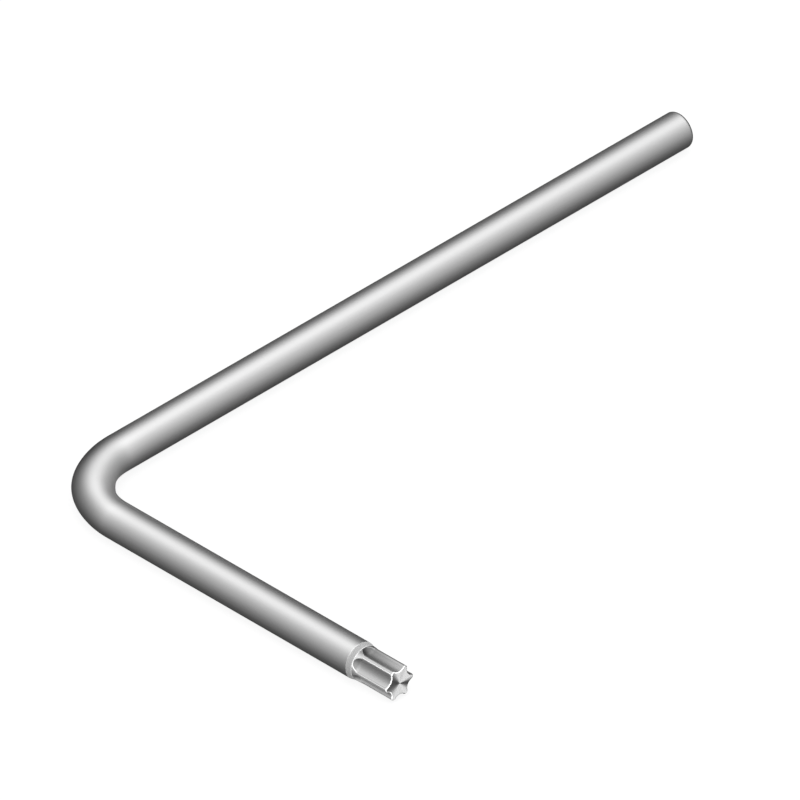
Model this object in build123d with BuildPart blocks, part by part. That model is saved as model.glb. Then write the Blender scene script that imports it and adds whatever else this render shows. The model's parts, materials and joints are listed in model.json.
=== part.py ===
from build123d import *

import os
from math import cos, radians, sqrt, tan

# Star-drive key: an L-shaped wrench bent from one round steel bar. Millimetres, +Z up.
# It lies flat, with the long arm along +Y and the short arm, which ends in the star, along +X.
# The origin is the middle of its footprint, on the surface that it lies on.

# Bar
bar_diameter = 6.0
long_reach = 133.0  # from the outer side of the short arm to the plain end
short_reach = 74.2  # from the outer side of the long arm to the star end
bend_radius = 12.0  # of the bar's centre line
plain_end_break = 0.3  # chamfer

# Star, to the standard six-lobe profile of size 30
lobe_count = 6
star_across_lobes = 5.6
flute_depth = 0.775  # 4.05 across opposite flutes
lobe_radius = 0.451
crest_land = 0.2  # strip of the turned blank that stays along each lobe
star_length = 7.3  # from the shoulder's small end to the end face
star_end_break = 0.12  # radius
shoulder_length = 0.95
run_out_radius = 1.5  # of the curve that a flute's bottom leaves the bar on

# Stations of the two arms
bar_radius = bar_diameter / 2
star_radius = star_across_lobes / 2
long_arm_x = bar_radius - short_reach / 2
short_arm_y = bar_radius - long_reach / 2
plain_end_y = long_reach / 2
star_end_x = short_reach / 2
star_start_x = star_end_x - star_length
shoulder_x = star_start_x - shoulder_length

# Section of a flute. Its arc is centred half a pitch from the lobes on both sides of it, and is
# tangent to the arcs that round them. A lobe's arc crosses the turned blank at the land's edge.
half_pitch = 180 / lobe_count
half_land = crest_land / 2
flute_bottom = star_radius - flute_depth
lobe_centre = sqrt(star_radius**2 - half_land**2) - sqrt(lobe_radius**2 - half_land**2)
lobe_centre_out = lobe_centre * cos(radians(half_pitch))
flute_radius = (flute_bottom**2 + lobe_centre**2 - lobe_radius**2 - 2 * flute_bottom * lobe_centre_out) / (
    2 * (lobe_centre_out + lobe_radius - flute_bottom)
)
cutter_pivot = flute_bottom + run_out_radius
run_out_length = sqrt(run_out_radius**2 - (run_out_radius - flute_depth) ** 2)

# Cutter of one flute: X points out of the flute and Z along the star, from where the run-out ends
with BuildPart() as flute_cutter:
    with BuildSketch() as flute_section:
        with BuildLine():
            flute_middle = Vector(flute_bottom + flute_radius, 0)
            lobe_middle = Vector(lobe_centre, 0).rotate(Axis.Z, half_pitch)
            crest = Vector(lobe_centre + lobe_radius, 0).rotate(Axis.Z, half_pitch)
            to_lobe = (lobe_middle - flute_middle).normalized()
            flute = TangentArc((flute_bottom, 0), flute_middle + to_lobe * flute_radius, tangent=(0, 1))
            lobe = TangentArc(flute @ 1, crest, tangent=flute % 1)
            Polyline(lobe @ 1, (cutter_pivot, cutter_pivot * tan(radians(half_pitch))), (cutter_pivot, 0))
            mirror(about=Plane.XZ)
        make_face()
    extrude(amount=star_length)
    revolve(flute_section.sketch, axis=Axis((cutter_pivot, 0, 0), (0, -1, 0)), revolution_arc=90)

# The key: bar, shoulder and star are one piece
with BuildPart() as star_key:
    with BuildLine():
        centre_line = FilletPolyline(
            (long_arm_x, plain_end_y, bar_radius),
            (long_arm_x, short_arm_y, bar_radius),
            (shoulder_x, short_arm_y, bar_radius),
            radius=bend_radius,
        )
    with BuildSketch(Plane(origin=centre_line @ 0, z_dir=centre_line % 0)):
        Circle(bar_radius)
    sweep()

    # Shoulder and turned blank of the star
    with BuildSketch(Plane((0, short_arm_y, bar_radius), x_dir=(1, 0, 0), z_dir=(0, -1, 0))):
        with BuildLine():
            Polyline(
                (shoulder_x, 0),
                (shoulder_x, bar_radius),
                (star_start_x, star_radius),
                (star_end_x, star_radius),
                (star_end_x, 0),
                close=True,
            )
        make_face()
    revolve(axis=Axis((0, short_arm_y, bar_radius), (1, 0, 0)))

    # Flutes, with a lobe on each side of the bar's middle plane
    run_out_end = (star_start_x + run_out_length, short_arm_y, bar_radius)
    with Locations(Plane(origin=run_out_end, x_dir=(0, 1, 0), z_dir=(1, 0, 0))):
        with PolarLocations(0, lobe_count, start_angle=half_pitch):
            add(flute_cutter.part, mode=Mode.SUBTRACT)

    star_face = star_key.faces().sort_by(Axis.X)[-1]
    fillet(star_face.edges(), star_end_break)
    plain_face = star_key.faces().sort_by(Axis.Y)[-1]
    chamfer(plain_face.edges(), plain_end_break)

star_key.part.label = "star_key"
os.makedirs("parts", exist_ok=True)
export_step(star_key.part, "parts/star_key.step")
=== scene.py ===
# Star-drive key: finish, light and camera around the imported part
import json
from math import atan2, cos, hypot, pi, radians, sin, sqrt

import bmesh
import bpy
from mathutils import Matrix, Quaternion, Vector


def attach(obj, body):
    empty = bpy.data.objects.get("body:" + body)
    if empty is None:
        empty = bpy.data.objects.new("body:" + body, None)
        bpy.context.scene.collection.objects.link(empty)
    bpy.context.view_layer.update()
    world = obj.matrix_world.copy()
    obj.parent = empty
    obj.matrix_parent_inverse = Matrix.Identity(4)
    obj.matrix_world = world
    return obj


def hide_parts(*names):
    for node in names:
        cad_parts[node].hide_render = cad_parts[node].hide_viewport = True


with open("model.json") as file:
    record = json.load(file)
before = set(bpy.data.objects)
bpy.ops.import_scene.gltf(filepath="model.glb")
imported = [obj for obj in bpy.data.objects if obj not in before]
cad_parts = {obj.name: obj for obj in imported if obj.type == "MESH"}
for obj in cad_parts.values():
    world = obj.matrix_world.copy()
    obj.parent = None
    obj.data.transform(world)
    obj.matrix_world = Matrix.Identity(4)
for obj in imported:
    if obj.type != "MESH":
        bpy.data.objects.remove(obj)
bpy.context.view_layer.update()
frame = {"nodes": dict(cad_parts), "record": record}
mm = 0.001
hair = 1e-4  # mm, places closer than this are the same
print("frame loaded:", sorted(frame["nodes"]))

def hexColour(code):
    # sRGB hex to linear
    parts = [int(code[i:i + 2], 16) / 255 for i in (1, 3, 5)]
    linear = [c / 12.92 if c <= 0.04045 else ((c + 0.055) / 1.055) ** 2.4 for c in parts]
    return (*linear, 1.0)

def addNode(tree, kind, settings=None, inputs=None):
    # a node with its settings, and with each input either set or linked
    node = tree.nodes.new(kind)
    for name, value in (settings or {}).items():
        setattr(node, name, value)
    for name, value in (inputs or {}).items():
        if isinstance(value, bpy.types.NodeSocket):
            tree.links.new(value, node.inputs[name])
        else:
            node.inputs[name].default_value = value
    return node

# a colour mix's sockets go by number, because their names repeat
mixFirst, mixSecond, mixResult = 6, 7, 2

def newMaterial(name):
    material = bpy.data.materials.new(name)
    material.use_nodes = True
    material.node_tree.nodes.clear()
    return material, material.node_tree

def share(value, reach=1.0):
    # how much of a reach a value covers, from 0 to 1
    return min(1.0, max(0.0, value / reach))

def mixed(first, last, amount):
    return first + (last - first) * amount

# the key's main sizes in mm, from the record's mounts
mounts = {mount["name"]: mount for mount in frame["record"]["mounts"]}

def mountAt(name, side):
    return mounts[name]["pos_m"][side] / mm

barRadius = mounts["long_arm"]["dims"]["r_mm"]
longHalf = mounts["long_arm"]["dims"]["length_mm"] / 2
shortHalf = mounts["short_arm"]["dims"]["length_mm"] / 2
longAxisX = mountAt("long_arm", 0)
shortAxisY = mountAt("short_arm", 1)
bendRadius = mountAt("long_arm", 1) - longHalf - shortAxisY
plainBreak = mountAt("plain_end", 1) - mountAt("long_arm", 1) - longHalf

# stations along the bar's centre line in mm, from the plain end
bendStart = plainBreak + 2 * longHalf
bendStop = bendStart + bendRadius * pi / 2
shoulderStart = bendStop + 2 * shortHalf
barLength = bendStop + mountAt("star_tip", 0) - longAxisX - bendRadius

# the key's shape, in mm apart from the counts and the power
keyShape = {
    "lobes": 6,
    "acrossLobes": 5.6,
    "fluteDepth": 0.775,
    "lobeRadius": 0.451,
    "crestLand": 0.2,  # the strip of the turned blank that stays along each lobe
    "starLength": 7.3,
    "runOutRadius": 1.5,  # of the curve that the cutter lifts off the bar on
    "bendSwell": 0.27,  # that the bar is pressed out on each side in the middle of the bend
    "swellPower": 4,  # a higher power keeps this closer to the middle
    "plainEdge": 0.2,  # rounding of both sides of the plain end's chamfer
    "shoulderEdge": 0.06,
    "starEdge": 0.12,
    "leadRing": 0.15,  # a ring this far from an edge keeps the long faces' shading straight
    "aroundSteps": 360,  # a multiple of 12, so that lobes and flutes fall on the mesh
    "bendSteps": 60,
    "runOutSteps": 44,
    "fluteSteps": 10,
    "faceSteps": 12,
    "edgeSegments": 5,
    "halvings": 20,  # of the search for the surface that the cutter leaves
}

starRadius = keyShape["acrossLobes"] / 2
lobeRadius = keyShape["lobeRadius"]
starStart = barLength - keyShape["starLength"]
edgeStart = barLength - keyShape["starEdge"]
halfPitch = pi / keyShape["lobes"]
halfLand = keyShape["crestLand"] / 2

# a flute's arc is tangent to the arcs that round the lobes on both sides of it
fluteBottom = starRadius - keyShape["fluteDepth"]
lobeCentre = sqrt(starRadius**2 - halfLand**2) - sqrt(lobeRadius**2 - halfLand**2)
lobeOut = lobeCentre * cos(halfPitch)
fluteRadius = (fluteBottom**2 + lobeCentre**2 - lobeRadius**2 - 2 * fluteBottom * lobeOut) / (
    2 * (lobeOut + lobeRadius - fluteBottom)
)
fluteCentre = fluteBottom + fluteRadius

# the direction, from a flute's middle, where its arc gives way to the lobe's
arcShare = fluteRadius / (fluteRadius + lobeRadius)
arcMeeting = atan2(
    lobeCentre * sin(halfPitch) * arcShare,
    fluteCentre + (lobeOut - fluteCentre) * arcShare,
)

# the cutter swings about a pivot above the flute, and leaves the blank where the star starts
cutterPivot = fluteBottom + keyShape["runOutRadius"]
runOutStop = starStart + sqrt(keyShape["runOutRadius"] ** 2 - (cutterPivot - starRadius) ** 2)

barFinish = {
    "colour": "#C4C4C4",
    "ringHighlightColour": "#EFEFEF",
    "roughness": 0.36,
    # the drawn lines: mm between them, coarser than real ones so that they show, and mm along them
    "lineWidth": 0.12,
    "lineLength": 22.0,
    "lineDetail": 3.0,
    "lineRange": (0.3, 0.7),  # of the noise, from a line's smooth side to its rough side
    "lineRoughness": 0.02,  # how far a line's sides lie below and above the bar's roughness
    # the bend: its skin was drawn over the bending die, which starts and ends softly, over some mm
    # of the straight arms and of the bend
    "bendRoughness": 0.42,
    "bendAnisotropy": 0.84,
    "bendLean": (-22, -12),  # degrees that its light leans off the bar, at its start and stop
    "skinBefore": 6.0,
    "skinInside": 6.0,
    # the plain end: painted shade that darkens it towards its edge, and mm that this reaches from
    # its edge
    "paintedEndShade": "#484848",
    "paintedEndShadeReach": 0.8,
}

# drawn steel bar, tumbled and nickel plated: a satin grey with soft, wide highlights along the bar,
# which the bending die has dragged out along the bend, with painted shade that darkens the plain
# end towards its edge, and a painted highlight line on the rubbed ring at the shoulder
def satinNickelPlatedSteel():
    material, tree = newMaterial("satinNickelPlatedSteel")
    finish = barFinish
    straight = addNode(tree, "ShaderNodeAttribute", {"attribute_name": "straightBar"})
    ringHighlight = addNode(tree, "ShaderNodeAttribute", {"attribute_name": "shoulderRingHighlight"})
    paintedEndShade = addNode(tree, "ShaderNodeAttribute", {"attribute_name": "paintedEndShade"})
    skin = addNode(tree, "ShaderNodeAttribute", {"attribute_name": "drawnSkin"})
    spread = addNode(tree, "ShaderNodeAttribute", {"attribute_name": "lightSpread"})
    width, length = finish["lineWidth"], finish["lineLength"]
    lines = addNode(tree, "ShaderNodeMapping", None, {
        "Vector": straight.outputs["Vector"], "Scale": (1 / width, 1 / width, 1 / length),
    })
    drawn = addNode(tree, "ShaderNodeTexNoise", None, {
        "Vector": lines.outputs["Vector"], "Scale": 1.0, "Detail": finish["lineDetail"],
    })
    rough = addNode(tree, "ShaderNodeMapRange", None, {
        "Value": drawn.outputs["Fac"],
        "From Min": finish["lineRange"][0], "From Max": finish["lineRange"][1],
        "To Min": finish["roughness"] - finish["lineRoughness"],
        "To Max": finish["roughness"] + finish["lineRoughness"],
    })
    rough = addNode(tree, "ShaderNodeMix", {"data_type": "FLOAT"}, {
        "Factor": skin.outputs["Fac"], "A": rough.outputs["Result"], "B": finish["bendRoughness"],
    })
    dragged = addNode(tree, "ShaderNodeMath", {"operation": "MULTIPLY"}, {
        0: skin.outputs["Fac"], 1: finish["bendAnisotropy"],
    })
    # the shoulder's rubbed ring, lightened as a painted highlight line
    colour = addNode(tree, "ShaderNodeMix", {"data_type": "RGBA"}, {
        "Factor": ringHighlight.outputs["Fac"],
        mixFirst: hexColour(finish["colour"]), mixSecond: hexColour(finish["ringHighlightColour"]),
    })
    # painted shade, darker towards the plain end's edge
    colour = addNode(tree, "ShaderNodeMix", {"data_type": "RGBA"}, {
        "Factor": paintedEndShade.outputs["Fac"],
        mixFirst: colour.outputs[mixResult], mixSecond: hexColour(finish["paintedEndShade"]),
    })
    shader = addNode(tree, "ShaderNodeBsdfPrincipled", None, {
        "Base Color": colour.outputs[mixResult], "Metallic": 1.0, "Roughness": rough.outputs[0],
        "Anisotropic": dragged.outputs[0], "Tangent": spread.outputs["Vector"],
    })
    addNode(tree, "ShaderNodeOutputMaterial", None, {"Surface": shader.outputs["BSDF"]})
    return material

# painted tone runs from 0, the darkest, to 1, the brightest, and holds painted light and shade;
# widths and reaches are in mm
starFinish = {
    "darkest": "#141414",
    "brightest": "#F4F4F4",
    "roughness": 0.5,
    "scatterRoughness": 0.95,  # where it is blasted or rubbed
    "shoulder": 0.5,
    "crest": 0.48,
    "floor": 0.35,
    "landDepth": 0.1,  # the flutes' painted tone starts this far below the crest
    # painted light and shade: how much brighter or darker each flute is painted, at its root and at
    # its tip, and how much painted shade darkens all of them where the cutter has lifted off
    "flutes": [(1, 1), (0.52, 0.95), (1, 1), (2.2, 2.2), (1, 1), (1, 1)],
    "runOutShade": 0.6,
    "runOutReach": 0.7,
    # painted light and shade: how bright each lobe's crest is, and the back and the front of the
    # wedge that it starts from
    "crests": [0.48, 0.3, 0.48, 0.78, 0.48, 0.48],
    "wedges": [(0.5, 0.5), (0.3, 0.3), (0.25, 0.66), (0.85, 0.7), (0.5, 0.5), (0.5, 0.5)],
    "wedgeReach": 0.5,
    "wedgeTurn": 0.8,  # over which a wedge's back gives way to its front
    # how rubbed the back and the front of each lobe are, by driving screws home, lightened as
    # painted highlight lines, how far below its crest that lies, and how far it reaches up and down
    # from there
    "rubHighlights": [(0.3, 0.3), (0, 0), (0, 1), (0.5, 0.3), (0.3, 0.3), (0.3, 0.3)],
    "rubHighlightDepth": 0.035,
    "rubHighlightReach": 0.035,
    # how rubbed the rings at the shoulder's big and small end are, lightened as painted highlight
    # lines
    "outerRing": 0.3,
    "innerRing": 0.8,
    "ringWidth": 0.07,
    # the rounded edge of the end face, with a strip beside it: one half has painted shade, and the
    # other, which starts at an angle from the bar's middle plane, has a painted highlight and
    # scatters light
    "rimShade": 0.08,
    "rimHighlight": 1.0,
    "rimScatter": 1.0,
    "rimFrom": 62,  # degrees
    "rimTurn": 3,  # how quickly one half gives way to the other
    "rimWidth": 0.03,
}

# the star: turned, milled, blasted and plated. Its shoulder scatters light evenly. Painted light
# and shade give each flute and lobe its own brightness, painted shade darkens the flutes at the
# bottom and where they run out, and the edges have painted highlights as rubbed white lines, whose
# fine dents scatter light as well
def blastedStarSteelPaintedShading():
    material, tree = newMaterial("blastedStarSteelPaintedShading")
    finish = starFinish
    paintedTone = addNode(tree, "ShaderNodeAttribute", {"attribute_name": "paintedLightAndShade"})
    scatter = addNode(tree, "ShaderNodeAttribute", {"attribute_name": "scatter"})
    # painted light and shade, between the darkest and the brightest tone
    colour = addNode(tree, "ShaderNodeMix", {"data_type": "RGBA"}, {
        "Factor": paintedTone.outputs["Fac"],
        mixFirst: hexColour(finish["darkest"]), mixSecond: hexColour(finish["brightest"]),
    })
    rough = addNode(tree, "ShaderNodeMix", {"data_type": "FLOAT"}, {
        "Factor": scatter.outputs["Fac"], "A": finish["roughness"], "B": finish["scatterRoughness"],
    })
    shader = addNode(tree, "ShaderNodeBsdfPrincipled", None, {
        "Base Color": colour.outputs[mixResult], "Metallic": 1.0, "Roughness": rough.outputs[0],
    })
    addNode(tree, "ShaderNodeOutputMaterial", None, {"Surface": shader.outputs["BSDF"]})
    return material

faceFinish = {
    "colour": "#C8C8C8",
    "roughness": 0.6,
    "anisotropy": 1.0,
    # degrees that the grinding lines lean from straight round, and how that sways once, twice and
    # three times round the face: how far, and from which angle
    "lean": 30.1,
    "sways": [(11.3, 157), (33.2, 113), (16.7, 126)],
}

# the star's end face, ground in lines that sweep round the middle, so that light fans across it
def groundEndSteel():
    material, tree = newMaterial("groundEndSteel")
    finish = faceFinish
    spread = addNode(tree, "ShaderNodeAttribute", {"attribute_name": "lightSpread"})
    shader = addNode(tree, "ShaderNodeBsdfPrincipled", None, {
        "Base Color": hexColour(finish["colour"]), "Metallic": 1.0,
        "Roughness": finish["roughness"], "Anisotropic": finish["anisotropy"],
        "Tangent": spread.outputs["Vector"],
    })
    addNode(tree, "ShaderNodeOutputMaterial", None, {"Surface": shader.outputs["BSDF"]})
    return material

# the key's finishes, in the order that its mesh numbers them in
finishes = [satinNickelPlatedSteel, blastedStarSteelPaintedShading, groundEndSteel]

def starOutline(turn, inset=0.0):
    # the star's radius at an angle from a flute's middle, for the outline moved inwards by inset
    if turn < arcMeeting:
        arc = fluteRadius + inset
        return fluteCentre * cos(turn) - sqrt(arc**2 - (fluteCentre * sin(turn)) ** 2)
    offLobe = halfPitch - turn
    arc = lobeRadius - inset
    side = lobeCentre * sin(offLobe)
    reach = lobeCentre * cos(offLobe) + sqrt(max(0.0, arc**2 - side**2))
    return min(reach, starRadius - inset)

def fluteSurface(turn, station):
    # the radius that the cutter leaves, with the curve that it lifts off the bar on
    lift = max(0.0, runOutStop - station)
    if lift == 0.0:
        return starOutline(turn)
    low, high = fluteBottom, starRadius
    for halving in range(keyShape["halvings"]):
        middle = (low + high) / 2
        out, side = middle * cos(turn), middle * sin(turn)
        cutterOut = cutterPivot - sqrt((cutterPivot - out) ** 2 + lift**2)
        fromMiddle = atan2(side, cutterOut)
        isSteel = fromMiddle > halfPitch or hypot(cutterOut, side) < starOutline(fromMiddle)
        low, high = (middle, high) if isSteel else (low, middle)
    return low

def blankRings():
    # the stations where the turned blank gets a ring of its own
    shape = keyShape
    lead, steps = shape["leadRing"], shape["runOutSteps"]
    rings = [plainBreak + shape["plainEdge"] + lead]
    rings += [shoulderStart - lead, shoulderStart + lead, starStart - lead]
    bendStep = (bendStop - bendStart) / shape["bendSteps"]
    skinSteps = int(barFinish["skinBefore"] / bendStep) + 1
    lastStep = shape["bendSteps"] + skinSteps
    rings += [bendStart + bendStep * i for i in range(-skinSteps, lastStep + 1)]
    rings += [starStart + (runOutStop - starStart) * (i + 0.5) / steps for i in range(steps)]
    steps, rimStart = shape["fluteSteps"], edgeStart - starFinish["rimWidth"]
    rings += [runOutStop + (rimStart - runOutStop) * i / steps for i in range(steps + 1)]
    return rings

def turnBlank(bm):
    # the outline from the middle of the plain end to the middle of the star end, turned about Z
    shape = keyShape
    corners = [
        (0, 0, 0),
        (barRadius - plainBreak, 0, shape["plainEdge"]),
        (barRadius, plainBreak, shape["plainEdge"]),
        (barRadius, shoulderStart, shape["shoulderEdge"]),
        (starRadius, starStart, shape["shoulderEdge"]),
        (starRadius, barLength, shape["starEdge"]),
        (0, barLength, 0),
    ]
    outline = [bm.verts.new((radius, 0, station)) for radius, station, edge in corners]
    for first, second in zip(outline, outline[1:]):
        bm.edges.new((first, second))
    for vert, (radius, station, edge) in zip(outline, corners):
        if edge:
            bmesh.ops.bevel(bm, geom=[vert], offset=edge, affect="VERTICES",
                            segments=shape["edgeSegments"], profile=0.5, material=-1)
    for station in blankRings():
        bmesh.ops.bisect_plane(bm, geom=bm.verts[:] + bm.edges[:],
                               plane_co=(0, 0, station), plane_no=(0, 0, 1))
    for i in range(1, shape["faceSteps"]):
        radius = (starRadius - shape["starEdge"]) * i / shape["faceSteps"]
        bmesh.ops.bisect_plane(bm, geom=bm.verts[:] + bm.edges[:],
                               plane_co=(radius, 0, 0), plane_no=(1, 0, 0))
    bmesh.ops.spin(bm, geom=bm.verts[:] + bm.edges[:], cent=(0, 0, 0), axis=(0, 0, 1),
                   angle=2 * pi, steps=shape["aroundSteps"], use_merge=True)
    bmesh.ops.remove_doubles(bm, verts=bm.verts, dist=hair)

def millStar(bm):
    # pulls the blank in to the flutes, and the end face and its rounded edge with them
    edge = keyShape["starEdge"]
    for vert in bm.verts:
        station, turned = vert.co.z, hypot(vert.co.x, vert.co.y)
        if station < starStart + keyShape["shoulderEdge"] or turned < hair:
            continue
        # the angle from the nearest flute's middle
        turn = abs(atan2(vert.co.y, vert.co.x) % (2 * halfPitch) - halfPitch)
        if station < edgeStart - hair:
            radius = min(turned, fluteSurface(turn, station))
        elif turned > starRadius - edge - hair:
            radius = starOutline(turn, starRadius - turned)
        else:
            radius = starOutline(turn, edge) * turned / (starRadius - edge)
        vert.co.x *= radius / turned
        vert.co.y *= radius / turned

def starPaintedTone(point):
    # the painted light and shade at a point of the star, and how much of a painted highlight line
    # it has where it is rubbed
    finish, lobes = starFinish, keyShape["lobes"]
    radius = hypot(point.x, point.y)
    depth, lift = starRadius - radius, runOutStop - point.z
    runOut = share(lift, finish["runOutReach"])
    angle = atan2(point.y, point.x) % (2 * pi)

    # each flute's painted tone: painted light and shade per flute, and painted shade at its bottom
    # and where the cutter lifts off
    root, tip = finish["flutes"][int(angle / (2 * halfPitch)) % lobes]
    tone = mixed(root, tip, share(-lift, barLength - runOutStop))
    tone *= 1 - finish["runOutShade"] * runOut
    flute = mixed(finish["crest"], finish["floor"], share(depth, keyShape["fluteDepth"])) * tone

    # the nearest lobe, and how far ahead of its middle the point is
    lobe = round(angle / (2 * halfPitch))
    ahead = (angle - lobe * 2 * halfPitch) * radius
    lobe %= lobes
    # each lobe's crest and wedge: painted light and shade per lobe
    back, front = finish["wedges"][lobe]
    wedge = mixed(back, front, share(ahead + finish["wedgeTurn"] / 2, finish["wedgeTurn"]))
    crest = mixed(finish["crests"][lobe], wedge, share(lift, finish["wedgeReach"]))

    # painted highlight line along each lobe, where it is rubbed
    rubHighlight = finish["rubHighlights"][lobe][ahead > 0] * (1 - runOut)
    rubHighlight *= share(1 - abs(depth - finish["rubHighlightDepth"]) / finish["rubHighlightReach"])
    return mixed(crest, flute, share(depth, finish["landDepth"])), rubHighlight

def starMarks(point, outerRubHighlight):
    # the painted tone of the shoulder or the star at a point, with its painted light and shade, and
    # how much light it scatters
    finish, station = starFinish, point.z
    # the rubbed rings at the shoulder's ends, lightened as painted highlight lines
    innerRubHighlight = finish["innerRing"] * share(1 - abs(station - starStart) / finish["ringWidth"])
    paintedTone, rubHighlight, scatter = finish["shoulder"], max(outerRubHighlight, innerRubHighlight), 1.0
    if station > starStart:
        paintedTone, lobeRubHighlight = starPaintedTone(point)
        rubHighlight = scatter = max(rubHighlight, lobeRubHighlight)
    # the end face's rim: painted highlight on one half and painted shade on the other
    rim = share(station - edgeStart + finish["rimWidth"], finish["rimWidth"])
    fromHighlightHalf = atan2(point.y, point.x) - radians(finish["rimFrom"])
    highlightHalf = share(0.5 + finish["rimTurn"] * sin(fromHighlightHalf))
    rimBright = mixed(finish["rimShade"], finish["rimHighlight"], highlightHalf)
    paintedTone = mixed(mixed(paintedTone, 1, rubHighlight), rimBright, rim)
    return paintedTone, max(scatter, finish["rimScatter"] * rim * highlightHalf)

def barTurn(station):
    # the angle round the bend
    return min(max((station - bendStart) / bendRadius, 0.0), pi / 2)

def lightSpread(point):
    # the direction that the finish spreads light in, for a point that is still on the straight bar
    across, up, station = point
    turn = barTurn(station)
    along, outwards = Vector((sin(turn), -cos(turn), 0)), Vector((cos(turn), sin(turn), 0))
    upwards = Vector((0, 0, 1))
    radius = max(hypot(across, up), hair)
    around = (outwards * up - upwards * across) / radius
    if station > barLength - hair:
        lean, angle = radians(faceFinish["lean"]), atan2(up, across)
        for times, (sway, start) in enumerate(faceFinish["sways"], 1):
            lean += radians(sway) * sin(times * angle - radians(start))
        return around * cos(lean) - (outwards * across + upwards * up) / radius * sin(lean)
    firstLean, lastLean = barFinish["bendLean"]
    inBend = share(station - bendStart, bendStop - bendStart)
    lean = radians(mixed(firstLean, lastLean, inBend))
    return along * cos(lean) + around * sin(lean)

def markFinish(bm):
    # where each finish lies, while the bar is still straight
    straight = bm.verts.layers.float_vector.new("straightBar")
    ringHighlight = bm.verts.layers.float.new("shoulderRingHighlight")
    endShadeLayer = bm.verts.layers.float.new("paintedEndShade")
    paintedTone = bm.verts.layers.float.new("paintedLightAndShade")
    scatter = bm.verts.layers.float.new("scatter")
    drawn = bm.verts.layers.float.new("drawnSkin")
    spread = bm.verts.layers.float_vector.new("lightSpread")
    before, inside = barFinish["skinBefore"], barFinish["skinInside"]
    ring, ringWidth = starFinish["outerRing"], starFinish["ringWidth"]
    for vert in bm.verts:
        station = vert.co.z
        fromEdge = hypot(station, barRadius - hypot(vert.co.x, vert.co.y))
        inBend = share(min(station - bendStart, bendStop - station) + before, before + inside)
        vert[straight] = vert.co
        # painted highlight line on the shoulder's rubbed ring
        vert[ringHighlight] = ring * share(1 - abs(station - shoulderStart) / ringWidth)
        # painted shade, darker towards the plain end's edge
        vert[endShadeLayer] = share(1 - fromEdge / barFinish["paintedEndShadeReach"]) ** 2
        # painted light and shade on the star
        vert[paintedTone], vert[scatter] = starMarks(vert.co, vert[ringHighlight])
        vert[drawn] = inBend * inBend * (3 - 2 * inBend)
        vert[spread] = lightSpread(vert.co)
    for face in bm.faces:
        if all(vert.co.z > barLength - hair for vert in face.verts):
            face.material_index = finishes.index(groundEndSteel)
        elif face.calc_center_median().z > shoulderStart:
            face.material_index = finishes.index(blastedStarSteelPaintedShading)

def bendBar(bm):
    # lays the straight bar along the long arm, round the bend and along the short arm
    swell = keyShape["bendSwell"] / barRadius
    for vert in bm.verts:
        across, up, station = vert.co
        turn = barTurn(station)
        lead, past = max(bendStart - station, 0.0), max(station - bendStop, 0.0)
        reach = bendRadius - across * (1 + swell * sin(2 * turn) ** keyShape["swellPower"])
        vert.co = (
            longAxisX + bendRadius - reach * cos(turn) + past,
            shortAxisY + bendRadius - reach * sin(turn) + lead,
            barRadius + up,
        )

def makeKey():
    bm = bmesh.new()
    turnBlank(bm)
    print("blank turned:", len(bm.verts), "points")
    millStar(bm)
    markFinish(bm)
    print("star milled and finishes marked")
    bendBar(bm)
    bmesh.ops.scale(bm, vec=(mm, mm, mm), verts=bm.verts)
    bmesh.ops.recalc_face_normals(bm, faces=bm.faces)
    for face in bm.faces:
        face.smooth = True
    mesh = bpy.data.meshes.new("starKey")
    bm.to_mesh(mesh)
    bm.free()
    key = bpy.data.objects.new("starKey", mesh)
    bpy.context.scene.collection.objects.link(key)
    return key

studio = {
    "floorSize": 6.0,  # m
    "floorColour": "#5A5A5A",
    "floorRoughness": 0.9,
    "floorGloss": 0.0,
    "floorGlow": 0.86,  # lit from below, so that shadows stay faint
    "background": "#FFFFFF",
    # two broad soft lights in a dark room: direction, how tight, how strong
    "lights": [((0.0, 0.0, 1.0), 5.53, 2.96), ((0.6326, -0.5797, 0.5135), 2.21, 3.03)],
}

# an opal acrylic light table: an even white that keeps only the faintest shadow
def makeFloor():
    bm = bmesh.new()
    bmesh.ops.create_grid(bm, x_segments=1, y_segments=1, size=studio["floorSize"] / 2)
    mesh = bpy.data.meshes.new("floor")
    bm.to_mesh(mesh)
    bm.free()
    floor = bpy.data.objects.new("floor", mesh)
    bpy.context.scene.collection.objects.link(floor)
    material, tree = newMaterial("opalAcrylicLightTable")
    shader = addNode(tree, "ShaderNodeBsdfPrincipled", None, {
        "Base Color": hexColour(studio["floorColour"]),
        "Roughness": studio["floorRoughness"],
        "Specular IOR Level": studio["floorGloss"],
        "Emission Color": hexColour(studio["background"]),
        "Emission Strength": studio["floorGlow"],
    })
    addNode(tree, "ShaderNodeOutputMaterial", None, {"Surface": shader.outputs["BSDF"]})
    mesh.materials.append(material)
    floor.visible_glossy = False  # the steel mirrors the dark room below it, and not the table

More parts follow.
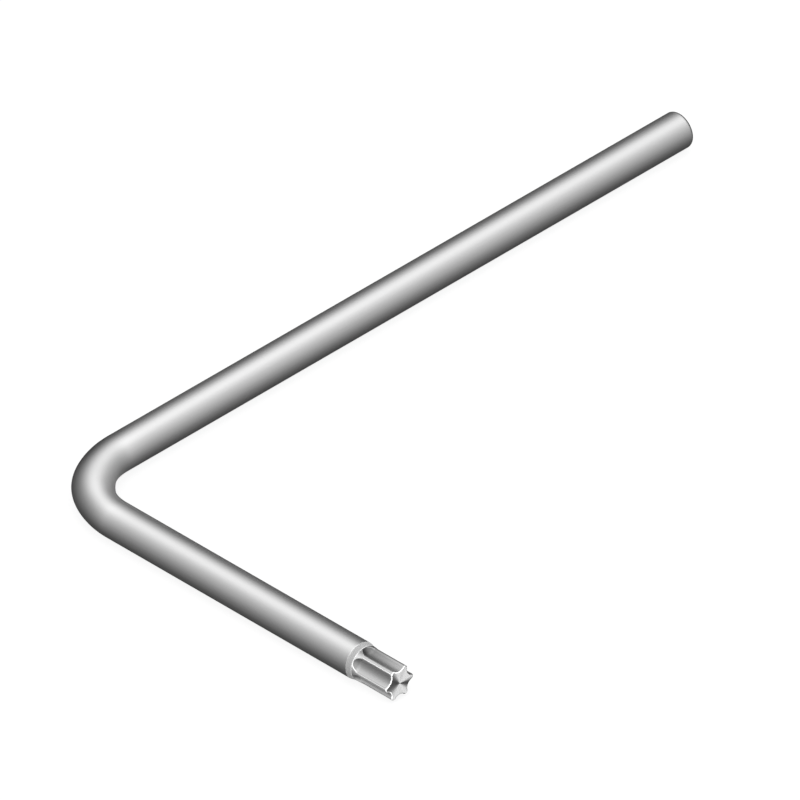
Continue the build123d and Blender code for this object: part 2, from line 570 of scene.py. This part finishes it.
def makeWorld():
    # the key is lit by the room with its two lights, and the camera sees a plain backdrop instead
    world = bpy.data.worlds.new("softboxRoom")
    bpy.context.scene.world = world
    world.use_nodes = True
    tree = world.node_tree
    tree.nodes.clear()
    view = addNode(tree, "ShaderNodeTexCoord")
    total = 0.0
    for direction, tightness, strength in studio["lights"]:
        facing = addNode(tree, "ShaderNodeVectorMath", {"operation": "DOT_PRODUCT"}, {
            0: view.outputs["Generated"], 1: Vector(direction).normalized(),
        })
        spread = addNode(tree, "ShaderNodeMath", {"operation": "MULTIPLY_ADD"}, {
            0: facing.outputs["Value"], 1: tightness, 2: -tightness,
        })
        glow = addNode(tree, "ShaderNodeMath", {"operation": "EXPONENT"}, {0: spread.outputs[0]})
        lit = addNode(tree, "ShaderNodeMath", {"operation": "MULTIPLY_ADD"}, {
            0: glow.outputs[0], 1: strength, 2: total,
        })
        total = lit.outputs[0]
    room = addNode(tree, "ShaderNodeBackground", None, {"Color": (1, 1, 1, 1), "Strength": total})
    backdrop = addNode(tree, "ShaderNodeBackground", None, {
        "Color": hexColour(studio["background"]),
    })
    path = addNode(tree, "ShaderNodeLightPath")
    chosen = addNode(tree, "ShaderNodeMixShader", None, {
        0: path.outputs["Is Camera Ray"], 1: room.outputs[0], 2: backdrop.outputs[0],
    })
    addNode(tree, "ShaderNodeOutputWorld", None, {"Surface": chosen.outputs[0]})

cameraPlace = {
    "lens": 1600,  # mm, a very long lens from far off, for an almost parallel view
    "azimuth": 45.575,  # degrees, as are the next two
    "elevation": 35.1033,
    "roll": -0.6999,
    "aim": (-14.0208, -12.6155),  # mm from the middle of the footprint, at the bar's axis
    "distance": 5266.2,  # mm
    "clip": (0.1, 50),  # m
}

def makeCamera():
    place = cameraPlace
    around, above = radians(place["azimuth"]), radians(place["elevation"])
    back = Vector((sin(around) * cos(above), -cos(around) * cos(above), sin(above)))
    level = back.to_track_quat("Z", "Y")
    camera = bpy.data.objects.new("camera", bpy.data.cameras.new("camera"))
    camera.data.lens = place["lens"]
    camera.data.clip_start, camera.data.clip_end = place["clip"]
    camera.location = (Vector((*place["aim"], barRadius)) + back * place["distance"]) * mm
    camera.rotation_mode = "QUATERNION"
    camera.rotation_quaternion = level @ Quaternion((0, 0, 1), radians(place["roll"]))
    bpy.context.scene.collection.objects.link(camera)
    bpy.context.scene.camera = camera

makeCamera()
makeWorld()
makeFloor()
bpy.context.scene.view_settings.view_transform = "Standard"
print("studio set")

key = makeKey()
for makeMaterial in finishes:
    key.data.materials.append(makeMaterial())
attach(key, "root")
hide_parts("star_key")
print("key made:", len(key.data.polygons), "faces")
